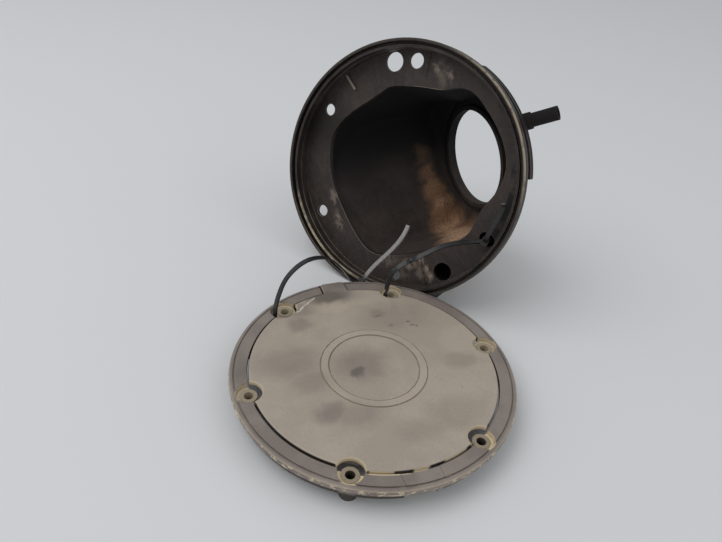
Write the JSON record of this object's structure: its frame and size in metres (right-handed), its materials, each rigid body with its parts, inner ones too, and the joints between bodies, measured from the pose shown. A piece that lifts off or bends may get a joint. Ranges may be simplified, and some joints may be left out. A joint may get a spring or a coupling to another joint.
{
  "type": "fuel filler flap and housing",
  "caption": "Round sprung fuel filler flap in a bolted ring, with its round filler housing, tied together by two cable ties.",
  "frame": {"origin": "centre of the lid ring's bolt circle, in the plane of its boss feet, on which the lid stands", "axes": "+Z out of the lid's outer face, -Y towards the flap's hinge, +Y towards its lift tab"},
  "size_m": [0.2039, 0.2465, 0.1497],
  "materials": {
    "housing": "worn black",
    "lid_ring": "grey brown, worn",
    "flap": "grey brown, worn",
    "hinge_pin": "bright",
    "hinge_spring": "spring steel",
    "catch_spring": "spring steel",
    "catch_rivet": "bright",
    "stop_left": "matte",
    "stop_right": "matte",
    "tie_left": "black nylon",
    "tie_right": "black nylon"
  },
  "bodies": {
    "base": {"housing": "housing", "lid_ring": "lid_ring", "hinge_pin": "hinge_pin", "hinge_spring": "hinge_spring", "catch_spring": "catch_spring", "catch_rivet": "catch_rivet", "stop_left": "stop_left", "stop_right": "stop_right", "tie_left": "tie_left", "tie_right": "tie_right"},
    "flap": {"flap": "flap"}
  },
  "joints": [
    {"name": "flap_hinge", "type": "hinge", "parent": "base", "child": "flap", "pos_m": [-0.0028, -0.06975, 0.013], "axis": [1, 0, 0], "range_deg": [0, 92]}
  ]
}
